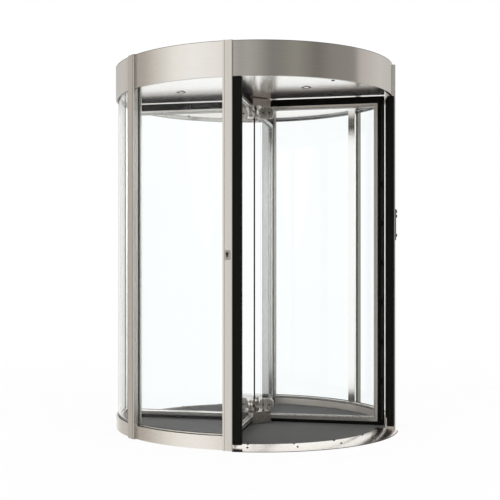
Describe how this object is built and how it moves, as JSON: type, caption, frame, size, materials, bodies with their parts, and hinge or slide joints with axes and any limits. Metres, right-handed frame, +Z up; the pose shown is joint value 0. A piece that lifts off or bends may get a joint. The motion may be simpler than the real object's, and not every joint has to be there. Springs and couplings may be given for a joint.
{
  "type": "four-wing revolving door",
  "caption": "Free-standing glazed revolving door: steel posts carry a round canopy over curved glass walls, and framed glass wings with black seals turn on a central pivot.",
  "frame": {"origin": "on the floor, on the pivot's axis", "axes": "+Z up along the pivot, -Y out of the front opening, +X to the right"},
  "size_m": [1.894, 1.9298, 2.405],
  "materials": {
    "brushed_steel": "satin",
    "polished_steel": "bright",
    "clear_glass": "clear",
    "black_seal": "matte",
    "black_rubber": "matte",
    "floor_mat": "ribbed"
  },
  "bodies": {
    "drum": {"front_left_post": "brushed_steel", "front_right_post": "brushed_steel", "back_right_post": "brushed_steel", "back_left_post": "brushed_steel", "left_mid_post": "brushed_steel", "right_mid_post": "brushed_steel", "front_safety_edges": "black_rubber", "back_safety_edges": "black_rubber", "front_edge_carriers": "brushed_steel", "back_edge_carriers": "brushed_steel", "right_front_glass": "clear_glass", "right_back_glass": "clear_glass", "left_back_glass": "clear_glass", "left_front_glass": "clear_glass", "right_base_rails": "brushed_steel", "left_base_rails": "brushed_steel", "front_fascia": "brushed_steel", "back_fascia": "brushed_steel", "right_fascia": "brushed_steel", "left_fascia": "brushed_steel", "ceiling": "polished_steel", "top_cover": "brushed_steel", "downlights": "polished_steel", "sensors": "black_seal", "front_threshold": "polished_steel", "back_threshold": "polished_steel", "floor_plate": "brushed_steel", "floor_mat": "floor_mat", "key_switch": "polished_steel", "control_plate": "polished_steel"},
    "rotor": {"upper_hub": "brushed_steel", "lower_hub": "brushed_steel", "wing_a_glass": "clear_glass", "wing_b_glass": "clear_glass", "wing_c_glass": "clear_glass", "wing_d_glass": "clear_glass", "wing_a_frame": "brushed_steel", "wing_b_frame": "brushed_steel", "wing_c_frame": "brushed_steel", "wing_d_frame": "brushed_steel", "wing_a_seals": "black_seal", "wing_b_seals": "black_seal", "wing_c_seals": "black_seal", "wing_d_seals": "black_seal", "upper_patches": "brushed_steel", "lower_patches": "brushed_steel"}
  },
  "joints": [
    {"name": "rotor_spin", "type": "hinge", "parent": "drum", "child": "rotor", "pos_m": [0, 0, 0], "axis": [0, 0, 1], "continuous": true}
  ]
}
